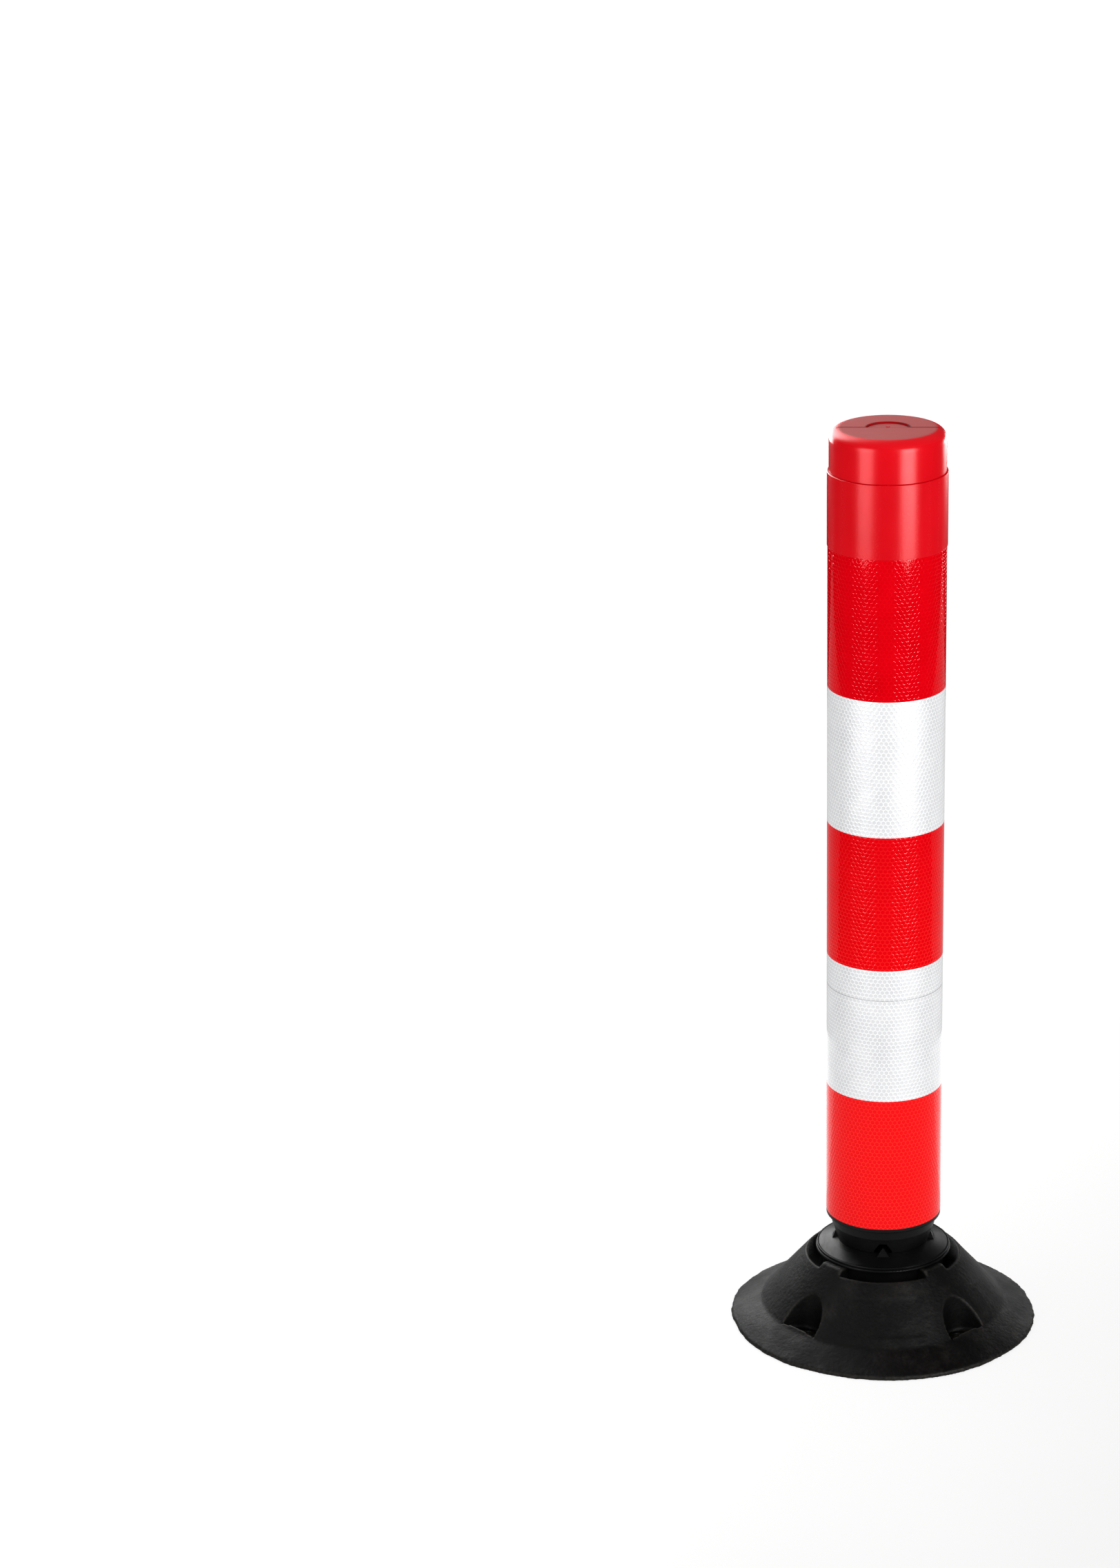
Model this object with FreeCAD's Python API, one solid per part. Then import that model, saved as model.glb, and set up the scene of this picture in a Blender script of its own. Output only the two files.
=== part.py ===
"""Self-righting delineator post on a rubber base.

Frame: +Z up, origin on the ground plane at the centre of the base, millimetres.
The four fixing pockets sit at 45 degrees to X and Y, the four location fins on the axes.
"""
import FreeCAD, Part
import math
import os

# ---------------------------------------------------------------- driving dimensions (mm)
# Rubber base
BASE_RADIUS = 110.5
RIM_HEIGHT = 3.0
WAIST_RADIUS = 88.5
WAIST_HEIGHT = 14.0
WAIST_ROUND = 0.8
SHOULDER_RADIUS = 52.7
SHOULDER_HEIGHT = 55.0
SOCKET_RADIUS = 43.7
COUNTERBORE_RADIUS = 51.0
COUNTERBORE_DEPTH = 20.0
GATE_SILL = 51.0
GATE_SILL_WIDTH = 1.0
GATE_DEEP = 41.0
GATE_ANGLE = 69.0
PANEL_ANGLE = 44.0
PANEL_LOW = 20.0
PANEL_HIGH = 42.0
PANEL_DEPTH = 0.5

# Fixing pockets and their bushes
POCKET_RADIUS = 16.0
POCKET_CENTRE = 84.0
POCKET_OUTER_EDGE = 86.0
POCKET_FLOOR = 9.0
ANCHOR_PCD = 156.0
ANCHOR_HOLE_RADIUS = 5.5
BUSH_RADIUS = 8.0
BUSH_BOTTOM = 0.5
BUSH_FLANGE_RADIUS = 9.4
BUSH_FLANGE = 1.5
ANCHOR_COUNT = 4

# Socket collar
LIP_RADIUS = 48.9
LIP_BOTTOM = SHOULDER_HEIGHT
COLLAR_BOTTOM = 6.0
COLLAR_WALL = 3.0
COLLAR_OPENING = 31.5
SEAT_HEIGHT = 63.4
BAND_RADIUS = 37.5
BAND_HEIGHT_LOSS = 1.4
HUB_RADIUS = 13.9
HUB_BORE = 9.2
HUB_BOTTOM = 54.4
HUB_TOP = 62.0
ARM_WIDTH = 8.0
FIN_WIDTH = 10.6
FIN_HEIGHT = 4.4
FIN_INNER = 20.0
FIN_OUTER = 36.8
FIN_SLANT = 3.0
LOCK_RING_HEIGHT = 6.0

# Elastic tendon
CORD_RADIUS = 2.2
CORD_RING = 4.6
CORD_COUNT = 7
CORD_BOTTOM = 38.0
CORD_TOP = 131.0
FOOT_WASHER_RADIUS = 12.6
FOOT_WASHER = 2.4
FOOT_FERRULE_RADIUS = 9.4
FOOT_FERRULE_BOTTOM = 33.0
HEAD_FERRULE_RADIUS = 8.2
HEAD_FERRULE_BOTTOM = 112.0
HEAD_FERRULE_TOP = 135.0
STUD_RADIUS = 4.0
STUD_TOP = 157.0
NUT_FLATS = 13.0
NUT_HEIGHT = 6.5
HEAD_WASHER_RADIUS = 11.5
HEAD_WASHER = 2.4

# Post plug
TUBE_BOTTOM = 86.0
FLANGE_RADIUS = 41.3
FLANGE_THICKNESS = 3.0
SKIRT_TOP_RADIUS = 38.0
SKIRT_KNEE_RADIUS = 37.2
SKIRT_KNEE_HEIGHT = 75.8
SKIRT_FOOT_RADIUS = 33.0
SKIRT_FOOT_ROUND = 0.8
SKIRT_WALL = 3.0
WEB_BOTTOM = 79.0
NOTCH_HEIGHT = 8.6
NOTCH_MOUTH = 13.0
NOTCH_CROWN = 5.0
NOTCH_STRAIGHT = 2.0
GUIDE_RADIUS = 7.6
TOWER_RADIUS = 11.5
TOWER_BORE = 8.5
TOWER_TOP = 141.0
SPIGOT_TOP = 122.0
SPIGOT_WALL = 2.8
RIB_TOP = 118.0
RIB_THICKNESS = 2.6

# Tube, reflective sheeting and cap
TUBE_RADIUS = 41.9
TUBE_BORE = 38.0
TUBE_TOP = 640.0
SHEET_RADIUS = 41.4
SHEET_THICKNESS = 0.5
SHEET_HEIGHT = 99.7
TOP_SHEET_HEIGHT = 102.2
SPLICE_HEIGHT = 262.7
BUTT_GAP = 0.8
CAP_RADIUS = 40.7
CAP_TOP = 670.2
CAP_ROUND = 8.0
CAP_WALL = 3.0
CAP_SPIGOT = 28.0
CAP_LINE_WIDTH = 1.0
CAP_LINE_DEPTH = 0.6
GRIP_RADIUS = 15.2
GRIP_DEPTH = 1.2
NUB_RADIUS = 1.2

OVERCUT = 1.0
Z_AXIS = FreeCAD.Vector(0, 0, 1)
ORIGIN = FreeCAD.Vector(0, 0, 0)
SKIRT_TOP = TUBE_BOTTOM - FLANGE_THICKNESS
SKIRT_LEAN = math.atan2(SKIRT_KNEE_RADIUS - SKIRT_FOOT_RADIUS, SKIRT_KNEE_HEIGHT - SEAT_HEIGHT)
# Radius where the skirt's foot rounding starts: the post tips over this edge.
TIPPING_RADIUS = SKIRT_FOOT_RADIUS - SKIRT_FOOT_ROUND / math.tan(math.pi / 4 + SKIRT_LEAN / 2)


# ---------------------------------------------------------------- shape helpers
def rounded_wire(points):
    """Closed wire in the XZ plane through (r, z, corner radius) points."""
    count = len(points)
    starts = []
    edges = []
    for i in range(count):
        corner = FreeCAD.Vector(points[i][0], 0, points[i][1])
        before = FreeCAD.Vector(points[i - 1][0], 0, points[i - 1][1]) - corner
        after = FreeCAD.Vector(points[(i + 1) % count][0], 0, points[(i + 1) % count][1]) - corner
        radius = points[i][2] if len(points[i]) > 2 else 0.0
        if radius <= 0:
            starts.append((corner, corner))
            continue
        before.normalize()
        after.normalize()
        half = before.getAngle(after) / 2.0
        cut = radius / math.tan(half)
        inward = before + after
        inward.normalize()
        entry = corner + before * cut
        leave = corner + after * cut
        middle = corner + inward * (radius / math.sin(half) - radius)
        starts.append((entry, leave))
        edges.append(Part.Arc(entry, middle, leave).toShape())
    for i in range(count):
        a = starts[i][1]
        b = starts[(i + 1) % count][0]
        if a.distanceToPoint(b) > 1e-6:
            edges.append(Part.makeLine(a, b))
    return Part.Wire(Part.__sortEdges__(edges))


def lathe(points, sweep=360.0, start=0.0):
    """Solid of revolution of an (r, z, corner radius) outline about Z."""
    solid = Part.Face(rounded_wire(points)).revolve(ORIGIN, Z_AXIS, sweep)
    solid.rotate(ORIGIN, Z_AXIS, start)
    return solid


def ring(inner, outer, low, high):
    return lathe([(inner, low), (outer, low), (outer, high), (inner, high)])


def sector(inner, outer, low, high, centre, sweep):
    """Part of a ring, centred on one azimuth."""
    return lathe([(inner, low), (outer, low), (outer, high), (inner, high)], sweep, centre - sweep / 2)


def rod(radius, low, high, x=0.0, y=0.0):
    return Part.makeCylinder(radius, high - low, FreeCAD.Vector(x, y, low))


def turned(shape, angle):
    """Copy of a shape rotated about Z."""
    copy = shape.copy()
    copy.rotate(ORIGIN, Z_AXIS, angle)
    return copy


def around(shape, count, start=0.0):
    return [turned(shape, start + i * 360.0 / count) for i in range(count)]


def prism_along_x(section, x_low, x_high):
    """Prism of a (y, z) section between two x planes."""
    corners = [FreeCAD.Vector(x_low, y, z) for y, z in section]
    face = Part.Face(Part.makePolygon(corners + corners[:1]))
    return face.extrude(FreeCAD.Vector(x_high - x_low, 0, 0))


def cone_radius(height):
    """Outer radius of the base's cone at a height."""
    share = (height - WAIST_HEIGHT) / (SHOULDER_HEIGHT - WAIST_HEIGHT)
    return WAIST_RADIUS + share * (SHOULDER_RADIUS - WAIST_RADIUS)


# ---------------------------------------------------------------- base
def anchor_pocket():
    """Arched pocket cut into the cone, flat on its outer side, on the +X axis."""
    pocket = rod(POCKET_RADIUS, POCKET_FLOOR, SHOULDER_HEIGHT, POCKET_CENTRE)
    keep = Part.makeBox(
        POCKET_OUTER_EDGE, 2 * POCKET_RADIUS, SHOULDER_HEIGHT, FreeCAD.Vector(0, -POCKET_RADIUS, 0)
    )
    return pocket.common(keep)


def rim_gate():
    """Gap in the cone's top on the +X axis: a narrow sill outside, falling away towards the collar."""
    sill = cone_radius(GATE_SILL) - GATE_SILL_WIDTH
    return lathe([
        (SOCKET_RADIUS - OVERCUT, GATE_DEEP),
        (SOCKET_RADIUS + OVERCUT, GATE_DEEP),
        (sill, GATE_SILL),
        (WAIST_RADIUS, GATE_SILL),
        (WAIST_RADIUS, SHOULDER_HEIGHT + OVERCUT),
        (SOCKET_RADIUS - OVERCUT, SHOULDER_HEIGHT + OVERCUT),
    ], GATE_ANGLE, -GATE_ANGLE / 2)


def rubber_base():
    body = lathe([
        (SOCKET_RADIUS, 0),
        (BASE_RADIUS, 0, 0.8),
        (BASE_RADIUS, RIM_HEIGHT, 1.4),
        (WAIST_RADIUS, WAIST_HEIGHT, WAIST_ROUND),
        (SHOULDER_RADIUS, SHOULDER_HEIGHT, 1.2),
        (SOCKET_RADIUS, SHOULDER_HEIGHT),
    ])
    cuts = [rod(COUNTERBORE_RADIUS, -OVERCUT, COUNTERBORE_DEPTH)]
    cuts += around(rim_gate(), 4)
    cuts += around(anchor_pocket(), ANCHOR_COUNT, 45)
    hole = rod(BUSH_RADIUS, -OVERCUT, POCKET_FLOOR + OVERCUT, ANCHOR_PCD / 2)
    seat_bottom = POCKET_FLOOR - BUSH_FLANGE
    flange_seat = rod(BUSH_FLANGE_RADIUS, seat_bottom, POCKET_FLOOR + OVERCUT, ANCHOR_PCD / 2)
    cuts += around(hole, ANCHOR_COUNT, 45)
    cuts += around(flange_seat, ANCHOR_COUNT, 45)
    panel = lathe([
        (cone_radius(PANEL_LOW) - PANEL_DEPTH, PANEL_LOW),
        (cone_radius(PANEL_LOW) + OVERCUT, PANEL_LOW),
        (cone_radius(PANEL_HIGH) + OVERCUT, PANEL_HIGH),
        (cone_radius(PANEL_HIGH) - PANEL_DEPTH, PANEL_HIGH),
    ], PANEL_ANGLE, -90 - PANEL_ANGLE / 2)
    cuts.append(panel)
    return body.cut(cuts).removeSplitter()


def anchor_bush(angle):
    """Flanged steel bush that lines one fixing hole."""
    bush = lathe([
        (ANCHOR_HOLE_RADIUS, BUSH_BOTTOM),
        (BUSH_RADIUS, BUSH_BOTTOM),
        (BUSH_RADIUS, POCKET_FLOOR - BUSH_FLANGE),
        (BUSH_FLANGE_RADIUS, POCKET_FLOOR - BUSH_FLANGE),
        (BUSH_FLANGE_RADIUS, POCKET_FLOOR, 0.4),
        (ANCHOR_HOLE_RADIUS, POCKET_FLOOR, 0.4),
    ])
    bush.translate(FreeCAD.Vector(ANCHOR_PCD / 2, 0, 0))
    return turned(bush, angle)


def collar_arm():
    """Spoke on +X: thick bar with a gabled location fin that lies over the collar's inner band."""
    bar = Part.makeBox(
        COLLAR_OPENING + 2 - HUB_BORE - 1, ARM_WIDTH, HUB_TOP - HUB_BOTTOM,
        FreeCAD.Vector(HUB_BORE + 1, -ARM_WIDTH / 2, HUB_BOTTOM),
    )
    half = FIN_WIDTH / 2
    eaves = HUB_TOP - 1.0
    ridge = SEAT_HEIGHT + FIN_HEIGHT
    low = HUB_BOTTOM + 3.0
    section = [(-half, low), (half, low), (half, eaves), (0.5, ridge), (-0.5, ridge), (-half, eaves)]
    fin = prism_along_x(section, FIN_INNER, FIN_OUTER)
    slope_cut = Part.Face(Part.makePolygon([
        FreeCAD.Vector(FIN_OUTER, -FIN_WIDTH, HUB_TOP),
        FreeCAD.Vector(FIN_OUTER - FIN_SLANT, -FIN_WIDTH, ridge + OVERCUT),
        FreeCAD.Vector(FIN_OUTER + FIN_SLANT, -FIN_WIDTH, ridge + OVERCUT),
        FreeCAD.Vector(FIN_OUTER, -FIN_WIDTH, HUB_TOP),
    ])).extrude(FreeCAD.Vector(0, 2 * FIN_WIDTH, 0))
    return bar.fuse(fin.cut(slope_cut))


def socket_collar():
    """Beaded ring, barrel, four-armed hub and location fins in one moulding."""
    bore = SOCKET_RADIUS - COLLAR_WALL
    band_height = SEAT_HEIGHT - BAND_HEIGHT_LOSS
    shell = lathe([
        (bore, COLLAR_BOTTOM),
        (SOCKET_RADIUS, COLLAR_BOTTOM, 0.8),
        (SOCKET_RADIUS, LIP_BOTTOM),
        (LIP_RADIUS, LIP_BOTTOM, 0.8),
        (LIP_RADIUS, LIP_BOTTOM + 2.0, 0.9),
        (LIP_RADIUS - 1.3, LIP_BOTTOM + 2.0),
        (LIP_RADIUS - 1.3, LIP_BOTTOM + 2.5),
        (LIP_RADIUS - 0.7, LIP_BOTTOM + 2.5, 0.3),
        (LIP_RADIUS - 0.7, LIP_BOTTOM + 3.8, 0.7),
        (LIP_RADIUS - 2.2, LIP_BOTTOM + 3.8, 1.0),
        (BAND_RADIUS, band_height),
        (TIPPING_RADIUS, SEAT_HEIGHT),
        (COLLAR_OPENING, SEAT_HEIGHT),
        (COLLAR_OPENING, SEAT_HEIGHT - 6.0, 0.6),
        (bore, LIP_BOTTOM - 3.0),
    ])
    hub = ring(HUB_BORE, HUB_RADIUS, HUB_BOTTOM, HUB_TOP)
    return shell.fuse([hub] + around(collar_arm(), 4)).removeSplitter()


def lock_ring():
    """Ring under the base's shoulder that clamps the rubber against the collar's lip."""
    high = COUNTERBORE_DEPTH
    low = high - LOCK_RING_HEIGHT
    body = lathe([
        (SOCKET_RADIUS, low),
        (COUNTERBORE_RADIUS - 0.6, low, 0.8),
        (COUNTERBORE_RADIUS - 0.6, high),
        (SOCKET_RADIUS, high),
    ])
    spanner_slot = Part.makeBox(4.0, 6.0, 2.5, FreeCAD.Vector(COUNTERBORE_RADIUS - 3.6, -3.0, low - 0.001))
    return body.cut(around(spanner_slot, 6))


# ---------------------------------------------------------------- tendon
def cord_places():
    """Centres of the strands: one in the middle and the rest round it."""
    places = [(0.0, 0.0)]
    for i in range(CORD_COUNT - 1):
        angle = math.radians(i * 360.0 / (CORD_COUNT - 1))
        places.append((CORD_RING * math.cos(angle), CORD_RING * math.sin(angle)))
    return places


def tendon_cord(place):
    return rod(CORD_RADIUS, CORD_BOTTOM, CORD_TOP, place[0], place[1])


def foot_washer():
    return ring(CORD_RING + CORD_RADIUS + 0.3, FOOT_WASHER_RADIUS, HUB_BOTTOM - FOOT_WASHER, HUB_BOTTOM)


def foot_ferrule():
    """Crimped sleeve on the strands' lower ends."""
    high = HUB_BOTTOM - FOOT_WASHER
    sleeve = lathe([
        (0, FOOT_FERRULE_BOTTOM),
        (FOOT_FERRULE_RADIUS, FOOT_FERRULE_BOTTOM, 1.0),
        (FOOT_FERRULE_RADIUS, high, 0.5),
        (0, high),
    ])
    strands = [rod(CORD_RADIUS, CORD_BOTTOM, high + OVERCUT, x, y) for x, y in cord_places()]
    return sleeve.cut(strands)


def head_ferrule():
    """Cup on the strands' upper ends with a stud above it."""
    cup = lathe([
        (0, HEAD_FERRULE_BOTTOM),
        (HEAD_FERRULE_RADIUS, HEAD_FERRULE_BOTTOM, 0.5),
        (HEAD_FERRULE_RADIUS, HEAD_FERRULE_TOP, 0.8),
        (STUD_RADIUS, HEAD_FERRULE_TOP),
        (STUD_RADIUS, STUD_TOP, 0.7),
        (0, STUD_TOP),
    ])
    return cup.cut(rod(CORD_RING + CORD_RADIUS + 0.3, HEAD_FERRULE_BOTTOM - OVERCUT, CORD_TOP + 0.3))


def head_washer():
    return ring(STUD_RADIUS, HEAD_WASHER_RADIUS, TOWER_TOP, TOWER_TOP + HEAD_WASHER)


def tension_nut():
    low = TOWER_TOP + HEAD_WASHER
    corner = NUT_FLATS / math.sqrt(3)
    points = []
    for i in range(7):
        angle = math.radians(60 * i)
        points.append(FreeCAD.Vector(corner * math.cos(angle), corner * math.sin(angle), low))
    hexagon = Part.Face(Part.makePolygon(points)).extrude(FreeCAD.Vector(0, 0, NUT_HEIGHT))
    chamfer = lathe([
        (0, low),
        (corner - 0.8, low),
        (corner, low + 0.8),
        (corner, low + NUT_HEIGHT - 0.8),
        (corner - 0.8, low + NUT_HEIGHT),
        (0, low + NUT_HEIGHT),
    ])
    return hexagon.common(chamfer).cut(rod(STUD_RADIUS, low - OVERCUT, low + NUT_HEIGHT + OVERCUT))


# ---------------------------------------------------------------- post
def plug_notch():
    """Notch on +X in the skirt's foot: it passes over one location fin."""
    mouth = NOTCH_MOUTH / 2
    crown = NOTCH_CROWN / 2
    low = SEAT_HEIGHT - OVERCUT
    high = SEAT_HEIGHT + NOTCH_HEIGHT
    bend = SEAT_HEIGHT + NOTCH_STRAIGHT
    section = [(-mouth, low), (mouth, low), (mouth, bend), (crown, high), (-crown, high), (-mouth, bend)]
    return prism_along_x(section, 15.0, 48.0)


def post_plug():
    """Flanged plug: notched skirt below, spigot, ribs and tendon tower inside the tube."""
    inner_foot = SKIRT_FOOT_RADIUS - SKIRT_WALL
    inner_top = SKIRT_TOP_RADIUS - SKIRT_WALL - 1.0
    spigot = TUBE_BORE - 0.1
    shell = lathe([
        (inner_foot, SEAT_HEIGHT, 0.6),
        (SKIRT_FOOT_RADIUS, SEAT_HEIGHT, SKIRT_FOOT_ROUND),
        (SKIRT_KNEE_RADIUS, SKIRT_KNEE_HEIGHT),
        (SKIRT_TOP_RADIUS, SKIRT_TOP, 0.5),
        (FLANGE_RADIUS, SKIRT_TOP, 0.7),
        (FLANGE_RADIUS, TUBE_BOTTOM, 0.3),
        (spigot, TUBE_BOTTOM),
        (spigot, SPIGOT_TOP, 0.8),
        (spigot - SPIGOT_WALL, SPIGOT_TOP, 0.5),
        (spigot - SPIGOT_WALL, TUBE_BOTTOM, 1.5),
        (TOWER_RADIUS, TUBE_BOTTOM, 1.5),
        (TOWER_RADIUS, TOWER_TOP, 0.3),
        (TOWER_BORE, TOWER_TOP),
        (TOWER_BORE, TUBE_BOTTOM + 4),
        (GUIDE_RADIUS, TUBE_BOTTOM + 3),
        (GUIDE_RADIUS, WEB_BOTTOM + 4),
        (GUIDE_RADIUS + 2.5, WEB_BOTTOM, 1.2),
        (inner_top, WEB_BOTTOM, 2.0),
    ])
    rib = Part.makeBox(
        spigot - SPIGOT_WALL - TOWER_RADIUS + 1.0, RIB_THICKNESS, RIB_TOP - TUBE_BOTTOM + 1.0,
        FreeCAD.Vector(TOWER_RADIUS - 0.5, -RIB_THICKNESS / 2, TUBE_BOTTOM - 1.0),
    )
    body = shell.fuse(around(rib, 6))
    return body.cut(around(plug_notch(), 4)).removeSplitter()


def sheet_edges():
    """Heights where one sheeting band ends and the next begins, bottom to top."""
    edges = [TUBE_BOTTOM + i * SHEET_HEIGHT for i in range(5)]
    edges.append(edges[4] + TOP_SHEET_HEIGHT)
    return edges


def post_tube():
    """Tube with a shallow recess for the sheeting and a thicker plain top."""
    recess = SHEET_RADIUS - SHEET_THICKNESS
    step = sheet_edges()[-1]
    return lathe([
        (TUBE_BORE, TUBE_BOTTOM),
        (recess, TUBE_BOTTOM),
        (recess, step),
        (TUBE_RADIUS, step, 0.25),
        (TUBE_RADIUS, TUBE_TOP, 0.5),
        (TUBE_BORE, TUBE_TOP),
    ])


def sheet_band(low, high):
    """Thin sheet wrapped round the tube, with its butt joint at the back."""
    inner = SHEET_RADIUS - SHEET_THICKNESS
    gap = math.degrees(BUTT_GAP / SHEET_RADIUS)
    return sector(inner, SHEET_RADIUS, low, high, -90, 360 - gap)


def top_cap():
    """Closed cap with a spigot, a moulding line across its crown and a half-round grip recess."""
    inner = CAP_RADIUS - CAP_WALL
    spigot = TUBE_BORE - 0.1
    body = lathe([
        (0, CAP_TOP),
        (CAP_RADIUS, CAP_TOP, CAP_ROUND),
        (CAP_RADIUS, TUBE_TOP, 0.4),
        (spigot, TUBE_TOP),
        (spigot, TUBE_TOP - CAP_SPIGOT, 1.0),
        (spigot - CAP_WALL, TUBE_TOP - CAP_SPIGOT, 0.5),
        (spigot - CAP_WALL, TUBE_TOP + 4),
        (inner - 2.0, CAP_TOP - CAP_WALL - 0.5, 5.0),
        (0, CAP_TOP - CAP_WALL - 0.5),
    ])
    reach = CAP_RADIUS - CAP_ROUND + 3.0
    line = Part.makeBox(
        2 * reach, CAP_LINE_WIDTH, 2.0, FreeCAD.Vector(-reach, -CAP_LINE_WIDTH / 2, CAP_TOP - CAP_LINE_DEPTH)
    )
    disc = rod(GRIP_RADIUS, CAP_TOP - GRIP_DEPTH, CAP_TOP + OVERCUT)
    half_plane = Part.makeBox(
        2 * GRIP_RADIUS, GRIP_RADIUS, 5.0, FreeCAD.Vector(-GRIP_RADIUS, 0, CAP_TOP - GRIP_DEPTH - OVERCUT)
    )
    nub = rod(NUB_RADIUS, CAP_TOP - GRIP_DEPTH - 0.5, CAP_TOP - GRIP_DEPTH + 0.8, 0, 4.0)
    return body.cut([line, disc.common(half_plane)]).fuse(nub).removeSplitter()


# ---------------------------------------------------------------- assembly
def all_parts():
    edges = sheet_edges()
    parts = {
        "rubber_base": rubber_base(),
        "socket_collar": socket_collar(),
        "lock_ring": lock_ring(),
        "foot_washer": foot_washer(),
        "foot_ferrule": foot_ferrule(),
        "head_ferrule": head_ferrule(),
        "head_washer": head_washer(),
        "tension_nut": tension_nut(),
        "post_plug": post_plug(),
        "post_tube": post_tube(),
        "sheet_red_lower": sheet_band(edges[0], edges[1]),
        "sheet_white_lower": sheet_band(edges[1], SPLICE_HEIGHT),
        "sheet_white_splice": sheet_band(SPLICE_HEIGHT, edges[2]),
        "sheet_red_middle": sheet_band(edges[2], edges[3]),
        "sheet_white_upper": sheet_band(edges[3], edges[4]),
        "sheet_red_upper": sheet_band(edges[4], edges[5]),
        "top_cap": top_cap(),
    }
    for i in range(ANCHOR_COUNT):
        parts[f"anchor_bush_{i + 1}"] = anchor_bush(45 + 90 * i)
    for i, place in enumerate(cord_places()):
        parts[f"tendon_cord_{i + 1}"] = tendon_cord(place)
    return parts


os.makedirs("parts", exist_ok=True)
for name, shape in all_parts().items():
    shape.exportStep(f"parts/{name}.step")
    print(name, len(shape.Solids), shape.isValid(), round(shape.Volume / 1000.0, 2), "cm3")
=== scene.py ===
"""Looks of the self-righting delineator post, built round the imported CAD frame. Metres, +Z up."""

import math

import bmesh
import bpy
import numpy as np
from mathutils import Matrix, Vector, noise


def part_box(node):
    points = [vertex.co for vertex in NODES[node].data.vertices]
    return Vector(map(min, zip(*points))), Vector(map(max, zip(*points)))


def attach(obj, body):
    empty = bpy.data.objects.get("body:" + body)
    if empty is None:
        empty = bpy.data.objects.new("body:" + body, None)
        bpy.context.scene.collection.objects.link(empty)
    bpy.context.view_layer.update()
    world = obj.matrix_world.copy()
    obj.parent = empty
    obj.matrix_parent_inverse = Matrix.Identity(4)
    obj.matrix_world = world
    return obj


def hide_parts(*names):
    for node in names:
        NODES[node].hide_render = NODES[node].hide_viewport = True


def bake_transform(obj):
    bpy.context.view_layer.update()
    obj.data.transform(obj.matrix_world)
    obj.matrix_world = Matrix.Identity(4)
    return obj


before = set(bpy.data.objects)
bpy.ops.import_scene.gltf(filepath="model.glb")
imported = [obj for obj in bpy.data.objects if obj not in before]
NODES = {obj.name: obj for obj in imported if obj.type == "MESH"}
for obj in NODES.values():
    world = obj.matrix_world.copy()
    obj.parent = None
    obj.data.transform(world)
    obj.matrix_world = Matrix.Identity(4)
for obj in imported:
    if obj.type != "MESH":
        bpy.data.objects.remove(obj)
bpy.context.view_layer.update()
MM = 0.001

# ---------------------------------------------------------------- sizes read from the frame (m)
SHEET_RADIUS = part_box("sheet_red_lower")[1][0]
SPLICE_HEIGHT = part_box("sheet_white_splice")[0][2]
CAP_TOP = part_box("top_cap")[1][2]
BASE_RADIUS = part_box("rubber_base")[1][0]

# ---------------------------------------------------------------- pieces of the frame
SHEETS = {
    "sheet_red_lower": "red",
    "sheet_white_lower": "white",
    "sheet_white_splice": "white",
    "sheet_red_middle": "red",
    "sheet_white_upper": "white",
    "sheet_red_upper": "red",
}
CORDS = [f"tendon_cord_{i}" for i in range(1, 8)]
BUSHES = [f"anchor_bush_{i}" for i in range(1, 5)]
TENDON_STEEL = ("foot_washer", "foot_ferrule", "head_ferrule", "head_washer", "tension_nut")

# ---------------------------------------------------------------- other sizes of the object (m)
SHEET_THICKNESS = 0.5 * MM
GRIP_RADIUS = 15.2 * MM
EDGE_ROUND = 0.25 * MM

# Honeycomb of the sheeting: flat lattice lines round cells with a slightly dished floor
CELLS_AROUND = 81
BUTT_GAP = 0.9 * MM
SPLICE_SHIFT = 0.9 * MM
LATTICE_WIDTH = 0.46 * MM
DISH_DEPTH = 0.065 * MM
DISH_FLOOR = 0.78
WELD = 0.002 * MM

# Painted light bounced from the floor: the sheeting's red is lighter near the ground, and fades into the
# plain red between these heights
LIGHT_RED_BELOW = 0.15
PLAIN_RED_ABOVE = 0.45

# Crumb rubber: (lumps per metre, lift in mm, where the noise is read) and the hand-trimmed rim
VOXEL = 1.15 * MM
RUBBER_LUMPS = (
    (38.0, 0.30, Vector((0.0, 0.0, 0.0))),
    (420.0, 0.10, Vector((0.0, 0.0, 0.0))),
    (900.0, 0.07, Vector((3.1, 7.7, 1.3))),
)
FLAT_UNDERSIDE = 0.4 * MM
RIM_WIDTH = 9 * MM
RAGGEDNESS = 1.5 * MM
# (radius of the circle on which the noise is read, share, height of that circle)
RAGGED_WAVES = ((3.0, 1.0, 0.4), (16.0, 0.45, 2.7), (60.0, 0.22, 5.1))

# Strands of the tendon
STRAND_SIDES = 16
STRAND_STEPS = 90
STRAND_WANDER = 0.10 * MM
STRAND_SLIMMING = 0.97

# ---------------------------------------------------------------- camera and studio
CAMERA_BACK = 3.0656
CAMERA_HEIGHT = 1.4751
CAMERA_PITCH = -19.188
CAMERA_YAW = 3.946
CAMERA_ROLL = -1.0
LENS = 105.49
SENSOR = 36.0
FAR_CLIP = 60.0

PAPER_RADIUS = 0.56
FLOOR_RADIUS = 14.0
FLOOR_GLOW = (0.74, 0.89)
GLOW_SLOPE = (-0.5, 0.25)
GLOW_RANGE = (-0.16, 0.10)
SKY_STRENGTH = 0.85
KEY_POWER = 32
CONTRAST = 0.84

# Name, azimuth, distance, (width, height), height of the lower edge, radiance
SOFTBOXES = (
    ("softbox_left", -42, 1.25, (0.62, 0.87), 0.23, 15.0),
    ("softbox_right", 40, 1.25, (0.62, 0.87), 0.23, 25.0),
    ("softbox_back_left", -150, 1.5, (1.0, 1.6), 0.34, 11.0),
    ("softbox_back_right", 150, 1.5, (0.8, 0.34), 0.26, 9.5),
)


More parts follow.
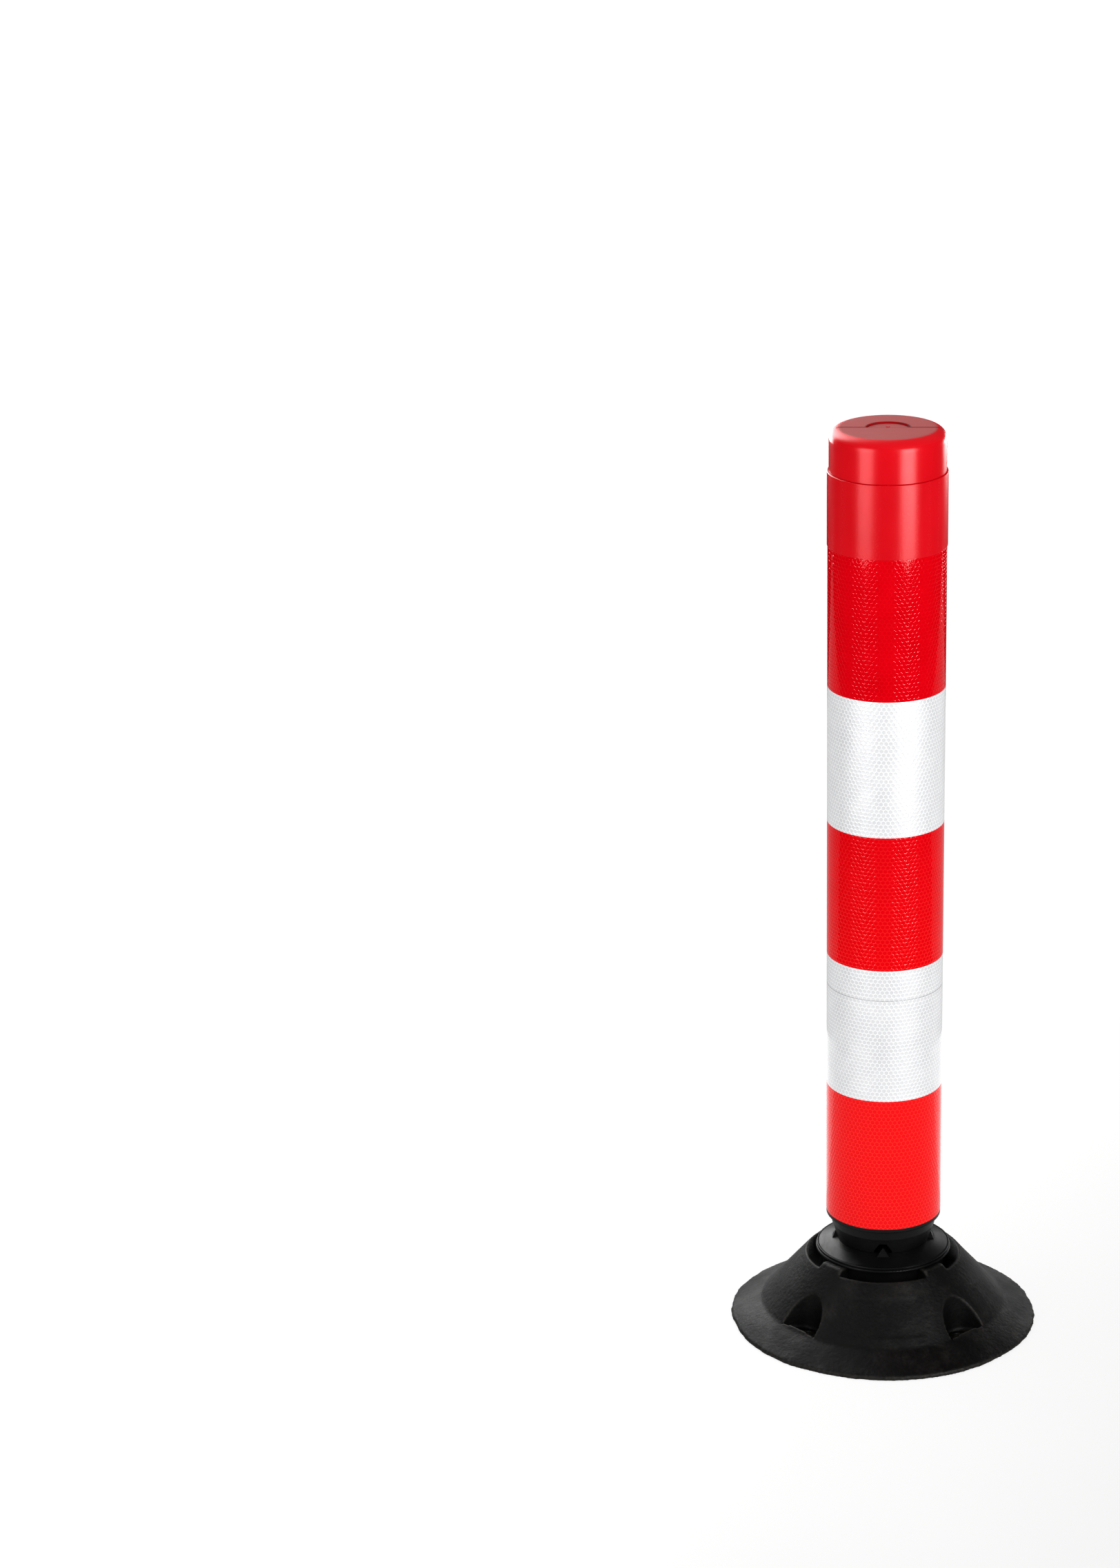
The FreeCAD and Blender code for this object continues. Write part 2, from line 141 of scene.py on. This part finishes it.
# ---------------------------------------------------------------- node helpers
class Shader:
    """A material with short calls for its nodes."""

    def __init__(self, name):
        self.material = bpy.data.materials.new(name)
        self.material.use_nodes = True
        self.tree = self.material.node_tree
        self.tree.nodes.clear()
        out = self.node("ShaderNodeOutputMaterial")
        self.bsdf = self.node("ShaderNodeBsdfPrincipled")
        self.link(self.bsdf.outputs["BSDF"], out.inputs["Surface"])
        places = self.node("ShaderNodeTexCoord")
        self.coords = places.outputs["Object"]
        self.normal = places.outputs["Normal"]

    def node(self, kind, **settings):
        made = self.tree.nodes.new(kind)
        for key, value in settings.items():
            setattr(made, key, value)
        return made

    def link(self, source, target):
        self.tree.links.new(source, target)

    def put(self, target, value):
        """Sets a socket to a number or colour, or links it to another socket."""
        if isinstance(value, bpy.types.NodeSocket):
            self.link(value, target)
        elif isinstance(value, (tuple, list)) and len(value) == 3 and target.type == "RGBA":
            target.default_value = (*value, 1.0)
        else:
            target.default_value = value

    def math(self, operation, a, b=0.0):
        made = self.node("ShaderNodeMath", operation=operation)
        for socket, value in zip(made.inputs, (a, b)):
            self.put(socket, value)
        return made.outputs[0]

    def noise(self, scale, detail=3.0, roughness=0.55, stretch=(1, 1, 1), turn=0.0):
        place = self.node("ShaderNodeMapping")
        place.inputs["Scale"].default_value = stretch
        place.inputs["Rotation"].default_value = (0, 0, math.radians(turn))
        self.link(self.coords, place.inputs["Vector"])
        made = self.node("ShaderNodeTexNoise")
        made.inputs["Scale"].default_value = scale
        made.inputs["Detail"].default_value = detail
        made.inputs["Roughness"].default_value = roughness
        self.link(place.outputs[0], made.inputs["Vector"])
        return made.outputs["Fac"]

    def cells(self, scale):
        """Distance from the middle of the nearest Voronoi cell."""
        made = self.node("ShaderNodeTexVoronoi", feature="F1")
        made.inputs["Scale"].default_value = scale
        self.link(self.coords, made.inputs["Vector"])
        return made.outputs["Distance"]

    def ramp(self, value, low, high, to_low=0.0, to_high=1.0):
        made = self.node("ShaderNodeMapRange", clamp=True)
        for socket, number in zip(made.inputs, (value, low, high, to_low, to_high)):
            self.put(socket, number)
        return made.outputs[0]

    def spread(self, value, to_low=0.0, to_high=1.0):
        """Stretches a noise, which lies mostly between 0.3 and 0.7, over a whole range."""
        return self.ramp(value, 0.3, 0.7, to_low, to_high)

    def mix(self, share, a, b):
        made = self.node("ShaderNodeMix", data_type="RGBA")
        self.put(made.inputs[0], share)
        self.put(made.inputs[6], a)
        self.put(made.inputs[7], b)
        return made.outputs[2]

    def mottle(self, value, a, b):
        """Varies between two colours with a noise."""
        return self.mix(self.spread(value), a, b)

    def bump(self, height, distance, strength=1.0, below=None):
        made = self.node("ShaderNodeBump")
        made.inputs["Distance"].default_value = distance
        made.inputs["Strength"].default_value = strength
        self.link(height, made.inputs["Height"])
        if below is not None:
            self.link(below, made.inputs["Normal"])
        return made.outputs[0]

    def part_of(self, vector, which):
        split = self.node("ShaderNodeSeparateXYZ")
        self.link(vector, split.inputs[0])
        return split.outputs[which]

    def axis(self, which):
        return self.part_of(self.coords, which)

    def facing_up(self):
        """1 where the surface faces the top of its own part, 0 on a wall."""
        return self.part_of(self.normal, 2)

    def set(self, **inputs):
        for key, value in inputs.items():
            self.put(self.bsdf.inputs[key.replace("_", " ")], value)
        return self.material


# ---------------------------------------------------------------- materials
def red_plastic():
    s = Shader("red_tube_plastic")
    drift = s.noise(14, 4)
    grain = s.noise(900, 2)
    streak = s.noise(160, 3, stretch=(1, 1, 0.04))
    colour = s.mottle(drift, (0.66, 0.001, 0.009), (0.74, 0.003, 0.014))
    rough = s.math("ADD", s.spread(streak, 0.20, 0.26), s.spread(grain, 0.0, 0.04))
    normal = s.bump(grain, 0.03 * MM, 0.5, s.bump(streak, 0.05 * MM, 0.35))
    return s.set(Base_Color=colour, Roughness=rough, Normal=normal, Specular_IOR_Level=0.15)


def grip_painted_shade(s):
    """1 where shade is painted on the crown, along the moulding line and round the grip recess."""
    from_line = s.math("ABSOLUTE", s.axis(1))
    squares = s.math("ADD", s.math("POWER", s.axis(0), 2.0), s.math("POWER", s.axis(1), 2.0))
    from_arc = s.math("ABSOLUTE", s.math("SUBTRACT", s.math("SQRT", squares), GRIP_RADIUS))
    behind = s.ramp(s.axis(1), -0.5 * MM, 0.5 * MM)
    line = s.ramp(from_line, 0.7 * MM, 1.2 * MM, 0.8, 0.0)
    arc = s.math("MULTIPLY", s.ramp(from_arc, 0.5 * MM, 1.1 * MM, 0.9, 0.0), behind)
    on_flat = s.ramp(s.facing_up(), 0.9, 0.99, 0.4, 1.0)
    on_crown = s.ramp(s.axis(2), CAP_TOP - 3 * MM, CAP_TOP - 2 * MM)
    groove_painted_shade = s.math("MULTIPLY", s.math("MAXIMUM", line, arc), on_flat)
    return s.math("MULTIPLY", groove_painted_shade, on_crown)


def cap_plastic():
    dusty_red = (0.47, 0.108, 0.102)
    # Red of the shade painted into the moulding line and round the grip recess
    shaded_red = (0.13, 0.012, 0.012)
    s = Shader("red_cap_plastic")
    drift = s.noise(18, 4)
    grain = s.noise(1100, 2)
    brushed = s.noise(420, 4, 0.6, stretch=(0.03, 1, 1), turn=3)
    crown = s.ramp(s.facing_up(), 0.975, 0.995)
    dust = s.math("MULTIPLY", crown, s.ramp(brushed, 0.25, 0.75, 0.80, 1.0))
    plain = s.mottle(drift, (0.68, 0.001, 0.009), (0.76, 0.003, 0.014))
    # Painted shade: the moulding line and the rim of the grip recess are darkened towards a shaded red.
    colour = s.mix(grip_painted_shade(s), s.mix(dust, plain, dusty_red), shaded_red)
    on_dust = s.ramp(dust, 0.0, 1.0, 0.23, 0.60)
    on_rounding = s.ramp(s.facing_up(), 0.35, 0.85, 0.23, 0.50)
    rough = s.math("MAXIMUM", on_dust, on_rounding)
    normal = s.bump(grain, 0.03 * MM, 0.5, s.bump(s.math("MULTIPLY", brushed, crown), 0.08 * MM, 0.5))
    return s.set(Base_Color=colour, Roughness=rough, Normal=normal, Specular_IOR_Level=0.15)


def black_plastic(name, tone, rough, gloss):
    dust = (0.020, 0.019, 0.018)
    s = Shader(name)
    cloud = s.noise(45, 5, 0.6)
    grain = s.noise(1400, 2)
    scuff = s.noise(300, 4, 0.7, stretch=(1, 0.15, 1), turn=25)
    dusty = s.math("MULTIPLY", s.ramp(cloud, 0.5, 0.75), s.ramp(s.facing_up(), 0.2, 0.9, 0.15, 1.0))
    colour = s.mix(dusty, (tone, tone, tone * 1.05), dust)
    roughness = s.math("ADD", s.spread(cloud, rough, rough + 0.14), s.ramp(scuff, 0.5, 0.8, 0.0, 0.12))
    normal = s.bump(grain, 0.02 * MM, 0.4, s.bump(cloud, 0.15 * MM, 0.25))
    return s.set(Base_Color=colour, Roughness=roughness, Normal=normal, Specular_IOR_Level=gloss)


def recycled_rubber():
    """Crumb rubber with dusty patches, thicker on what faces up, and a painted highlight along its sharp
    edges.
    """
    dusty_rubber = (0.019, 0.0166, 0.0148)
    edge_highlight_rubber = (0.042, 0.039, 0.035)
    s = Shader("recycled_rubber")
    granules = s.cells(520)
    speck = s.noise(1500, 3, 0.7)
    grit = s.noise(420, 4, 0.75)
    blotch = s.noise(26, 5, 0.62)
    cloud = s.noise(80, 4, 0.6)
    up = s.ramp(s.facing_up(), 0.35, 0.97)
    bloom = s.math("MULTIPLY", s.ramp(blotch, 0.45, 0.60), s.ramp(cloud, 0.38, 0.62, 0.2, 1.0))
    bloom = s.math("MULTIPLY", bloom, s.math("ADD", s.math("MULTIPLY", up, 0.75), 0.25))
    bloom = s.math("MULTIPLY", bloom, s.ramp(grit, 0.35, 0.65, 0.35, 1.3))
    # Painted highlight: sharp convex edges are made paler, as where they catch the light.
    painted_edge_highlight = s.ramp(s.node("ShaderNodeNewGeometry").outputs["Pointiness"], 0.51, 0.56, 0.0, 0.8)
    dark = s.mix(s.ramp(speck, 0.35, 0.7), (0.0007, 0.0007, 0.0006), (0.0020, 0.0019, 0.0017))
    colour = s.mix(painted_edge_highlight, s.mix(bloom, dark, dusty_rubber), edge_highlight_rubber)
    tinted = s.node("ShaderNodeMix", data_type="RGBA", blend_type="MULTIPLY")
    tinted.inputs[0].default_value = 0.6
    s.link(colour, tinted.inputs[6])
    s.link(s.ramp(granules, 0.0, 0.9, 1.25, 0.7), tinted.inputs[7])
    rough = s.math("ADD", s.spread(blotch, 0.56, 0.42), s.spread(speck, 0.0, 0.14))
    normal = s.bump(granules, 0.12 * MM, 0.6, s.bump(speck, 0.10 * MM, 0.7))
    normal = s.bump(grit, 0.45 * MM, 0.6, s.bump(cloud, 0.9 * MM, 0.35, normal))
    return s.set(Base_Color=tinted.outputs[2], Roughness=rough, Normal=normal, Specular_IOR_Level=0.10)


def with_splice_shadow(s, colour):
    """Paints a shadow along the splice of the lower white band, where its cut edges meet."""
    splice_shadow_grey = (0.28, 0.28, 0.29)
    beside = s.math("ABSOLUTE", s.math("SUBTRACT", s.axis(2), SPLICE_HEIGHT))
    return s.mix(s.ramp(beside, 0.25 * MM, 0.50 * MM, 0.5, 0.0), colour, splice_shadow_grey)


def with_floor_bounce_light(s, colour, light):
    """Paints light bounced from the floor: goes over to the lighter red of the lower bands."""
    return s.mix(s.ramp(s.axis(2), LIGHT_RED_BELOW, PLAIN_RED_ABOVE, 1.0, 0.0), colour, light)


def under_film(s, **inputs):
    """Finishes a material of the sheeting, which lies under a clear film."""
    return s.set(Specular_IOR_Level=0.0, Coat_Weight=1.0, Coat_Roughness=0.05, Coat_IOR=1.25, **inputs)


def sheeting_cell(tone):
    """Cell of prisms: the white one is partly metallic and darkens where it mirrors something dark."""
    s = Shader(f"sheeting_cell_{tone}")
    prisms = s.cells(2600)
    drift = s.noise(60, 3)
    if tone == "white":
        colour = with_splice_shadow(s, s.mottle(drift, (0.69, 0.695, 0.71), (0.76, 0.765, 0.775)))
        metallic = 0.12
    else:
        own_red = s.mottle(drift, (0.66, 0.000, 0.006), (0.73, 0.001, 0.009))
        colour = with_floor_bounce_light(s, own_red, (0.88, 0.004, 0.009))
        metallic = 0.0
    normal = s.bump(prisms, 0.05 * MM, 0.25)
    return under_film(s, Base_Color=colour, Metallic=metallic, Roughness=0.42, Normal=normal)


def sheeting_lattice(tone):
    s = Shader(f"sheeting_lattice_{tone}")
    drift = s.noise(400, 3)
    if tone == "white":
        colour = with_splice_shadow(s, s.mottle(drift, (0.90, 0.90, 0.91), (0.95, 0.95, 0.95)))
    else:
        own_red = s.mottle(drift, (0.74, 0.001, 0.010), (0.81, 0.003, 0.014))
        colour = with_floor_bounce_light(s, own_red, (1.00, 0.040, 0.028))
    return under_film(s, Base_Color=colour, Roughness=0.5)


def zinc_steel():
    s = Shader("zinc_steel")
    cloud = s.noise(220, 4, 0.6)
    turning = s.noise(900, 3, stretch=(1, 1, 8))
    colour = s.mottle(cloud, (0.20, 0.20, 0.195), (0.30, 0.295, 0.28))
    rough = s.spread(cloud, 0.30, 0.48)
    return s.set(Base_Color=colour, Metallic=1.0, Roughness=rough, Normal=s.bump(turning, 0.02 * MM, 0.3))


def bush_steel():
    """Steel of the ground anchor bushes, nearly black and dull, with the shade of the pockets painted
    into its colour.
    """
    s = Shader("pocket_shaded_steel")
    cloud = s.noise(500, 5, 0.7)
    # Painted shade: the steel's colour is kept nearly black, as deep in the pockets.
    colour = s.mix(s.ramp(cloud, 0.35, 0.65), (0.006, 0.006, 0.005), (0.05, 0.047, 0.042))
    return s.set(Base_Color=colour, Metallic=1.0, Roughness=s.spread(cloud, 0.6, 0.35))


def cord_rubber():
    s = Shader("tendon_rubber")
    cloud = s.noise(160, 4)
    wrap = s.node("ShaderNodeTexWave", wave_type="BANDS", bands_direction="Z")
    wrap.inputs["Scale"].default_value = 260
    wrap.inputs["Distortion"].default_value = 2.0
    s.link(s.coords, wrap.inputs["Vector"])
    colour = s.mottle(cloud, (0.010, 0.010, 0.010), (0.024, 0.023, 0.022))
    rough = s.spread(cloud, 0.38, 0.55)
    normal = s.bump(wrap.outputs["Fac"], 0.06 * MM, 0.5)
    return s.set(Base_Color=colour, Roughness=rough, Normal=normal, Specular_IOR_Level=0.15)


def floor_paint():
    """Pale floor that glows softly, more to the left and behind than to the right."""
    s = Shader("studio_floor")
    cloud = s.noise(1.5, 3)
    colour = s.mottle(cloud, (0.17, 0.17, 0.17), (0.19, 0.19, 0.19))
    across, along = (s.math("MULTIPLY", s.axis(i), GLOW_SLOPE[i]) for i in (0, 1))
    glow = s.ramp(s.math("ADD", along, across), *GLOW_RANGE, *FLOOR_GLOW)
    return s.set(
        Base_Color=colour, Roughness=0.9, Specular_IOR_Level=0.0,
        Emission_Color=(1.0, 1.0, 1.0), Emission_Strength=glow,
    )


# ---------------------------------------------------------------- mesh helpers
def new_object(name, mesh, materials=()):
    made = bpy.data.objects.new(name, mesh)
    bpy.context.scene.collection.objects.link(made)
    for material in materials:
        made.data.materials.append(material)
    return made


def smooth(thing):
    thing.data.polygons.foreach_set("use_smooth", [True] * len(thing.data.polygons))


def stand_in(node):
    """Hides a CAD node, in whose place a piece is shown."""
    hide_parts(node)


def paint(node, material):
    """Gives a CAD node a material of its own."""
    thing = NODES[node]
    thing.data.materials.clear()
    thing.data.materials.append(material)


def soften(node):
    """Rounds a CAD node's sharp edges with a modifier."""
    thing = NODES[node]
    bevel = thing.modifiers.new("rounded_edges", "BEVEL")
    bevel.width = EDGE_ROUND
    bevel.segments = 2
    bevel.limit_method = "ANGLE"
    bevel.angle_limit = math.radians(38)
    smooth(thing)


def bake(thing):
    """Applies a piece's modifiers to its mesh."""
    graph = bpy.context.evaluated_depsgraph_get()
    mesh = bpy.data.meshes.new_from_object(thing.evaluated_get(graph))
    thing.modifiers.clear()
    thing.data = mesh


# ---------------------------------------------------------------- honeycomb sheeting
def hexagon(cx, cz, reach):
    """Corners of a pointed-top hexagon in the flat sheet."""
    turns = [math.radians(30 + 60 * i) for i in range(6)]
    return [(cx + reach * math.cos(t), cz + reach * math.sin(t)) for t in turns]


def flat_honeycomb(length, low, high, phase):
    """Flat sheet in X (round the tube) and Z, with Y as the height over the sheet's face."""
    pitch = length / CELLS_AROUND
    row = pitch * math.sqrt(3) / 2
    corner = pitch / math.sqrt(3)
    cell = corner - LATTICE_WIDTH / math.sqrt(3)
    rings = [(corner, 0.0), (cell, 0.0), (cell * DISH_FLOOR, -DISH_DEPTH)]
    points = []
    faces = []
    slots = []
    first = math.floor((low - phase) / row) - 1
    last = math.ceil((high - phase) / row) + 1
    for j in range(first, last + 1):
        cz = phase + j * row
        for i in range(-1, CELLS_AROUND + 1):
            cx = (i + (0.5 if j % 2 else 0.0)) * pitch
            start = len(points)
            for reach, height in rings:
                points += [(x, height, z) for x, z in hexagon(cx, cz, reach)]
            for ring in range(len(rings) - 1):
                for k in range(6):
                    a = start + ring * 6 + k
                    b = start + ring * 6 + (k + 1) % 6
                    faces.append((a, b, b + 6, a + 6))
                    slots.append(0 if ring == 0 else 1)
            faces.append(tuple(start + (len(rings) - 1) * 6 + k for k in range(6)))
            slots.append(1)
    mesh = bpy.data.meshes.new("flat_sheet")
    mesh.from_pydata(points, [], faces)
    mesh.polygons.foreach_set("material_index", slots)
    return mesh


def trim(sheet, around, low, high):
    """Cuts a flat sheet to its band, with a small gap where its ends meet."""
    sides = [
        ((BUTT_GAP / 2, 0, 0), (-1, 0, 0)), ((around - BUTT_GAP / 2, 0, 0), (1, 0, 0)),
        ((0, 0, low), (0, 0, -1)), ((0, 0, high), (0, 0, 1)),
    ]
    for place, outward in sides:
        bmesh.ops.bisect_plane(
            sheet, geom=sheet.verts[:] + sheet.edges[:] + sheet.faces[:],
            plane_co=place, plane_no=outward, clear_outer=True, dist=1e-7,
        )


def turn_in(sheet):
    """Carries the sheet's cut edges down to the tube."""
    rim = [e for e in sheet.edges if e.is_boundary]
    grown = bmesh.ops.extrude_edge_only(sheet, edges=rim)["geom"]
    for v in (g for g in grown if isinstance(g, bmesh.types.BMVert)):
        v.co.y = -SHEET_THICKNESS


def roll(sheet):
    """Rolls the flat sheet round the tube, with its seam at the back, at azimuth 90 degrees."""
    for v in sheet.verts:
        angle = math.pi / 2 + v.co.x / SHEET_RADIUS
        radius = SHEET_RADIUS + v.co.y
        v.co = (radius * math.cos(angle), radius * math.sin(angle), v.co.z)
    bmesh.ops.recalc_face_normals(sheet, faces=sheet.faces[:])


def settle_order(sheet):
    """Puts the faces in the order of their corners, so that it is the same each run."""
    sheet.verts.index_update()
    ordered = sorted(sheet.faces, key=lambda face: sorted(v.index for v in face.verts))
    for place, face in enumerate(ordered):
        face.index = place
    sheet.faces.sort()


def honeycomb_band(name, materials):
    """One sheeting band, in place of its plain CAD ring."""
    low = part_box(name)[0][2]
    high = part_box(name)[1][2]
    around = 2 * math.pi * SHEET_RADIUS
    phase = low + (SPLICE_SHIFT if name == "sheet_white_splice" else 0.0)
    sheet = bmesh.new()
    sheet.from_mesh(flat_honeycomb(around, low, high, phase))
    bmesh.ops.remove_doubles(sheet, verts=sheet.verts, dist=WELD)
    trim(sheet, around, low, high)
    turn_in(sheet)
    roll(sheet)
    settle_order(sheet)
    mesh = bpy.data.meshes.new(f"honeycomb_{name}")
    sheet.to_mesh(mesh)
    sheet.free()
    band = new_object(f"honeycomb_{name}", mesh, materials)
    smooth(band)
    band.data.set_sharp_from_angle(angle=math.radians(9))
    stand_in(name)
    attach(band, "post")


# ---------------------------------------------------------------- rubber base
def lump_lift(point):
    """How far the crumb rubber stands off its smooth shape at a point."""
    if point.z < FLAT_UNDERSIDE:
        return 0.0
    return sum(lift * noise.noise(point * rate + shift) for rate, lift, shift in RUBBER_LUMPS) * MM


def rim_wave(angle):
    """How far the rim stands out at an angle, as a share of the raggedness."""
    return sum(
        share * noise.noise(Vector((math.cos(angle) * circle, math.sin(angle) * circle, height)))
        for circle, share, height in RAGGED_WAVES
    )


def rubber_skin(material):
    """The base's CAD shape, softened and roughened like compression-moulded crumb rubber."""
    body = new_object("moulded_rubber_base", NODES["rubber_base"].data.copy())
    body.data.materials.clear()
    remesh = body.modifiers.new("even_mesh", "REMESH")
    remesh.mode = "VOXEL"
    remesh.voxel_size = VOXEL
    round_off = body.modifiers.new("moulded_edges", "SMOOTH")
    round_off.factor = 0.5
    round_off.iterations = 1
    bake(body)
    mesh = body.data
    places = np.empty(len(mesh.vertices) * 3)
    normals = np.empty(len(mesh.vertices) * 3)
    mesh.vertices.foreach_get("co", places)
    mesh.vertices.foreach_get("normal", normals)
    places = places.reshape(-1, 3)
    lifts = np.array([lump_lift(Vector(p)) for p in places])
    places += normals.reshape(-1, 3) * lifts[:, None]
    # The outer rim is ragged where the flash was trimmed by hand.
    radius = np.hypot(places[:, 0], places[:, 1])
    rim = np.clip((radius - (BASE_RADIUS - RIM_WIDTH)) / RIM_WIDTH, 0, 1)
    ragged = np.array([rim_wave(a) for a in np.arctan2(places[:, 1], places[:, 0])])
    places[:, :2] *= (1.0 + rim * ragged * RAGGEDNESS / BASE_RADIUS)[:, None]
    mesh.vertices.foreach_set("co", places.ravel())
    mesh.update()
    mesh.materials.append(material)
    smooth(body)
    stand_in("rubber_base")
    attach(body, "base")


# ---------------------------------------------------------------- tendon
def tendon_strand(node, material, seed):
    """One elastic strand with a gentle wander between its two anchors."""
    low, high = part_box(node)
    cx = (low[0] + high[0]) / 2
    cy = (low[1] + high[1]) / 2
    radius = (high[0] - low[0]) / 2 * STRAND_SLIMMING
    points = []
    for i in range(STRAND_STEPS + 1):
        along = i / STRAND_STEPS
        z = low[2] + (high[2] - low[2]) * along
        wander = STRAND_WANDER * math.sin(math.pi * along) ** 2
        x = cx + wander * math.sin(5.0 * along + seed)
        y = cy + wander * math.cos(4.0 * along + 2 * seed)
        for k in range(STRAND_SIDES):
            turn = 2 * math.pi * k / STRAND_SIDES
            points.append((x + radius * math.cos(turn), y + radius * math.sin(turn), z))
    faces = [tuple(reversed(range(STRAND_SIDES)))]
    for i in range(STRAND_STEPS):
        for k in range(STRAND_SIDES):
            a = i * STRAND_SIDES + k
            b = i * STRAND_SIDES + (k + 1) % STRAND_SIDES
            faces.append((a, b, b + STRAND_SIDES, a + STRAND_SIDES))
    faces.append(tuple(STRAND_STEPS * STRAND_SIDES + k for k in range(STRAND_SIDES)))
    mesh = bpy.data.meshes.new(f"strand_{node}")
    mesh.from_pydata(points, [], faces)
    strand = new_object(f"strand_{node}", mesh, [material])
    smooth(strand)
    strand.data.set_sharp_from_angle(angle=math.radians(50))
    stand_in(node)
    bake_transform(strand)


# ---------------------------------------------------------------- studio
def disc(name, radius, height, material, sides=128):
    mesh = bpy.data.meshes.new(name)
    turns = [2 * math.pi * i / sides for i in range(sides)]
    rim = [(radius * math.cos(t), radius * math.sin(t), height) for t in turns]
    mesh.from_pydata(rim, [], [tuple(range(sides))])
    made = new_object(name, mesh, [material])
    return made


def studio():
    """White paper under the object on a wide pale floor; glossy surfaces mirror only the paper."""
    floor_look = floor_paint()
    disc("studio_paper", PAPER_RADIUS, 0.0, floor_look)
    floor = disc("studio_floor", FLOOR_RADIUS, -1 * MM, floor_look)
    floor.visible_glossy = False


def area_light(name, place, target, size, power, use):
    """A "shine" light shows only in reflections and a "fill" light only in the diffuse shading."""
    light = bpy.data.lights.new(name, "AREA")
    light.shape = "RECTANGLE"
    light.size, light.size_y = size
    light.energy = power
    lamp = bpy.data.objects.new(name, light)
    lamp.location = place
    lamp.rotation_euler = (Vector(target) - Vector(place)).to_track_quat("-Z", "Y").to_euler()
    lamp.visible_camera = False
    lamp.visible_glossy = use == "shine"
    lamp.visible_diffuse = use == "fill"
    bpy.context.scene.collection.objects.link(lamp)


def shine(name, place, target, size, radiance):
    """Light for reflections, as bright as its radiance says whatever its size."""
    area_light(name, place, target, size, radiance * math.pi * size[0] * size[1], "shine")


def softbox(name, azimuth, distance, size, low, radiance):
    """Upright soft light; azimuth 0 is in front of the post and grows to its right."""
    turn = math.radians(azimuth)
    x = distance * math.sin(turn)
    y = -distance * math.cos(turn)
    middle = low + size[1] / 2
    shine(name, (x, y, middle), (0, 0, middle), size, radiance)


def lights():
    for box in SOFTBOXES:
        softbox(*box)
    shine("high_back_left", (-0.95, 1.05, 1.70), (0, 0, 0), (0.9, 0.9), 11.0)
    shine("back_reflector", (0, 0.8, 0.003), (0, 0.8, 1.0), (3.0, 1.2), 0.60)
    area_light("key_panel", (1.3, -2.5, 1.7), (0, 0, 0.3), (1.8, 1.8), KEY_POWER, "fill")


def surroundings():
    """Even white light from all round, which reflections don't show, and the picture's contrast."""
    world = bpy.data.worlds.new("studio_world")
    bpy.context.scene.world = world
    world.use_nodes = True
    backdrop = world.node_tree.nodes["Background"]
    backdrop.inputs["Color"].default_value = (1.0, 1.0, 1.0, 1.0)
    backdrop.inputs["Strength"].default_value = SKY_STRENGTH
    world.cycles_visibility.glossy = False
    bpy.context.scene.view_settings.view_transform = "Standard"
    bpy.context.scene.view_settings.gamma = CONTRAST


def camera():
    data = bpy.data.cameras.new("camera")
    data.sensor_width = SENSOR
    data.lens = LENS
    data.clip_end = FAR_CLIP
    view = bpy.data.objects.new("camera", data)
    turns = ((90, "X"), (CAMERA_ROLL, "Z"), (CAMERA_YAW, "Y"), (CAMERA_PITCH, "X"))
    place = Matrix.Translation((0, -CAMERA_BACK, CAMERA_HEIGHT))
    for angle, about in turns:
        place = place @ Matrix.Rotation(math.radians(angle), 4, about)
    view.matrix_world = place
    bpy.context.scene.collection.objects.link(view)
    bpy.context.scene.camera = view


# ---------------------------------------------------------------- assembly
def dress():
    collar_black = black_plastic("collar_black", 0.006, 0.30, 0.08)
    paint("socket_collar", collar_black)
    paint("lock_ring", collar_black)
    paint("post_plug", black_plastic("plug_black", 0.006, 0.32, 0.18))
    paint("post_tube", red_plastic())
    paint("top_cap", cap_plastic())
    for nodes, metal in ((TENDON_STEEL, zinc_steel()), (BUSHES, bush_steel())):
        for node in nodes:
            paint(node, metal)
    soften("socket_collar")
    soften("post_plug")
    rubber_skin(recycled_rubber())
    films = {tone: [sheeting_lattice(tone), sheeting_cell(tone)] for tone in ("red", "white")}
    for name, tone in SHEETS.items():
        honeycomb_band(name, films[tone])
    rubber = cord_rubber()
    for seed, node in enumerate(CORDS):
        tendon_strand(node, rubber, seed)


studio()
lights()
surroundings()
camera()
dress()
